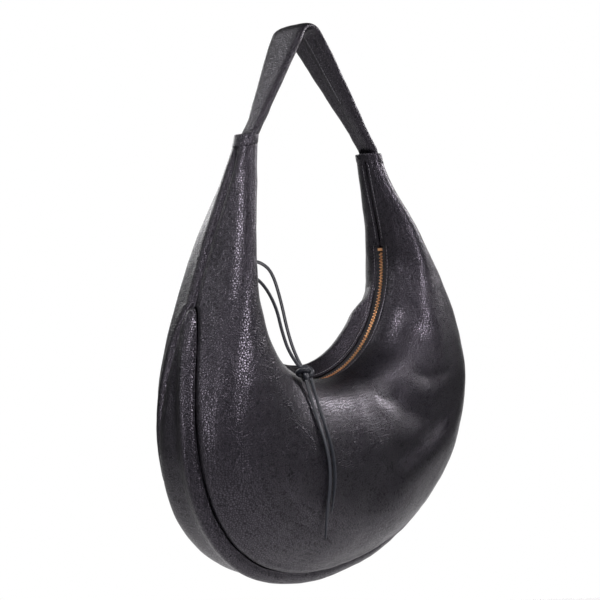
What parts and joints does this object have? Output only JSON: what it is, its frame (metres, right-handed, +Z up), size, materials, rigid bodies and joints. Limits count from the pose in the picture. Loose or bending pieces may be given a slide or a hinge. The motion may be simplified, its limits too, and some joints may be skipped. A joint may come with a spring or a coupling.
{
  "type": "hobo bag",
  "caption": "Soft crescent leather shoulder bag with a curved zip, a lens-shaped bottom gusset, a folded strap and a knotted leather lace on the slider.",
  "frame": {"origin": "underside of the strap's top, where a hook or a hand holds the bag", "axes": "+X along the bag towards its right end, -Y towards its front, +Z up"},
  "size_m": [0.4435, 0.1349, 0.587],
  "materials": {
    "leather_black": "pebble grained, satin",
    "strap_leather": "pebble grained, satin",
    "lining_cloth": "plain weave, matt",
    "zip_tape": "herringbone tape, matt",
    "zip_metal": "antique copper, satin",
    "lace_leather": "smooth, satin",
    "webbing": "woven, matt"
  },
  "bodies": {
    "handle": {"strap": "strap_leather", "strap_webbing": "webbing"},
    "bag": {"front_panel": "leather_black", "back_panel": "leather_black", "bottom_gusset": "leather_black", "lining_front": "lining_cloth", "lining_back": "lining_cloth", "lining_gusset": "lining_cloth", "slip_pocket": "lining_cloth", "arm_hem_left": "leather_black", "arm_hem_right": "leather_black", "zip_tape_front": "zip_tape", "zip_tape_back": "zip_tape", "zip_teeth_front": "zip_metal", "zip_teeth_back": "zip_metal", "zip_top_stop": "zip_metal", "zip_bottom_stop": "zip_metal", "strap_end_left": "strap_leather", "strap_end_right": "strap_leather"},
    "slider": {"zip_slider": "zip_metal"},
    "ring": {"zip_ring": "zip_metal"},
    "lace": {"lace_loop": "lace_leather", "lace_knot": "lace_leather"},
    "tails": {"lace_tail_long": "lace_leather", "lace_tail_short": "lace_leather"}
  },
  "joints": [
    {"name": "strap_fold", "type": "hinge", "parent": "handle", "child": "bag", "pos_m": [0, -0.004, -0.0975], "axis": [1, 0, 0], "range_deg": [-80, 80]},
    {"name": "zip_travel", "type": "hinge", "parent": "bag", "child": "slider", "pos_m": [0.012, -0.004, -0.2515], "axis": [0, -1, 0], "range_deg": [0, 187], "deforming": ["lace_loop", "lace_knot", "lace_tail_long", "lace_tail_short"]},
    {"name": "ring_swing", "type": "hinge", "parent": "slider", "child": "ring", "pos_m": [-0.10718, -0.004, -0.24421], "axis": [0, -1, 0], "range_deg": [0, 75]},
    {"name": "lace_swing", "type": "hinge", "parent": "ring", "child": "lace", "pos_m": [-0.09817, -0.004, -0.24941], "axis": [0, -1, 0], "range_deg": [-228, 0]},
    {"name": "tails_swing", "type": "hinge", "parent": "lace", "child": "tails", "pos_m": [-0.0615, -0.051, -0.3525], "axis": [0, -1, 0], "range_deg": [0, 41]}
  ],
  "couplings": [
    {"joint": "lace_swing", "follows": "zip_travel", "ratio": -1.2094},
    {"joint": "tails_swing", "follows": "zip_travel", "ratio": 0.2094}
  ]
}
